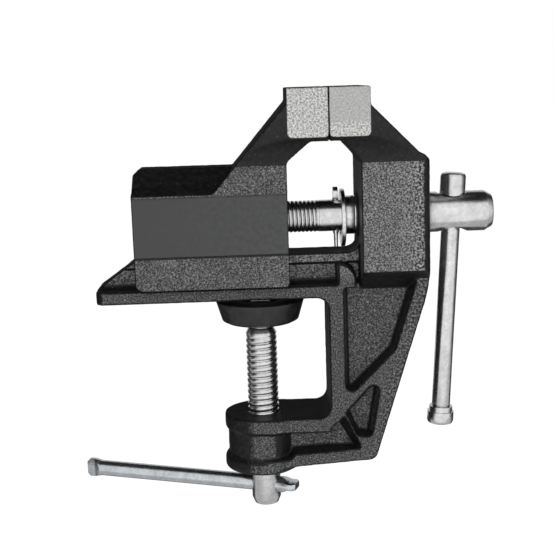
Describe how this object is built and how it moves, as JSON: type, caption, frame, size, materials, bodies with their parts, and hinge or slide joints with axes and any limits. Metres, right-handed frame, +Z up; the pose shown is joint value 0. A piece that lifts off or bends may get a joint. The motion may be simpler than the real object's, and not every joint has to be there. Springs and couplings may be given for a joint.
{
  "type": "clamp-on bench vise",
  "caption": "Small clamp-on bench vise: a C-shaped ribbed frame carries a fixed jaw and a sliding jaw on a T-rail, driven by a screw with a T-bar, and a clamp screw with a swivel pad.",
  "frame": {"origin": "where the clamp screw's axis meets the underside of the plate, the face that rests on a bench top", "axes": "+X along the main screw, from the moving jaw to the T-bar; +Y from the front side to the back side; +Z up, out of the bench"},
  "size_m": [0.2167, 0.0667, 0.2154],
  "materials": {
    "hammered_black": "glossy black hammered paint on cast iron, bare on the sides of the jaw heads",
    "satin_black": "smooth satin black",
    "zinc_steel": "bright zinc plate over turned steel",
    "plain_steel": "plain machined steel, lightly oiled"
  },
  "bodies": {
    "frame": {"frame_casting": "hammered_black", "thrust_washer": "zinc_steel", "shim_washer": "zinc_steel"},
    "moving_jaw": {"moving_jaw": "hammered_black", "jaw_nut": "plain_steel", "nut_lock_pin": "plain_steel"},
    "main_screw": {"main_screw": "zinc_steel", "split_pin": "zinc_steel", "spacer_collar": "zinc_steel"},
    "main_bar": {"main_bar": "zinc_steel", "main_bar_cap_upper": "zinc_steel", "main_bar_cap_lower": "zinc_steel"},
    "pad_carrier": {"pad_retaining_ring": "plain_steel"},
    "clamp_screw": {"clamp_screw": "zinc_steel"},
    "clamp_bar": {"clamp_bar": "zinc_steel"},
    "swivel_pad": {"swivel_pad": "satin_black"}
  },
  "joints": [
    {"name": "jaw_slide", "type": "slide", "parent": "frame", "child": "moving_jaw", "axis": [-1, 0, 0], "range_m": [0, 0.05]},
    {"name": "main_screw_turn", "type": "hinge", "parent": "frame", "child": "main_screw", "pos_m": [0.06, 0, 0.0388], "axis": [1, 0, 0], "range_deg": [0, 9000]},
    {"name": "main_bar_slide", "type": "slide", "parent": "main_screw", "child": "main_bar", "axis": [0.0576, 0, 0.9983], "range_m": [0, 0.088]},
    {"name": "clamp_travel", "type": "slide", "parent": "frame", "child": "pad_carrier", "axis": [0, 0, -1], "range_m": [0, 0.042]},
    {"name": "clamp_screw_turn", "type": "hinge", "parent": "pad_carrier", "child": "clamp_screw", "pos_m": [0, 0, -0.05], "axis": [0, 0, -1], "range_deg": [0, 5040]},
    {"name": "clamp_bar_slide", "type": "slide", "parent": "clamp_screw", "child": "clamp_bar", "axis": [0.9415, -0.3371, 0], "range_m": [0, 0.086]},
    {"name": "pad_tilt", "type": "hinge", "parent": "pad_carrier", "child": "swivel_pad", "pos_m": [0, 0, -0.007], "axis": [0, 1, 0], "range_deg": [-5, 5]}
  ],
  "couplings": [
    {"joint": "main_screw_turn", "follows": "jaw_slide", "rad_per_m": 3141.6},
    {"joint": "clamp_screw_turn", "follows": "clamp_travel", "rad_per_m": 2094.4}
  ]
}
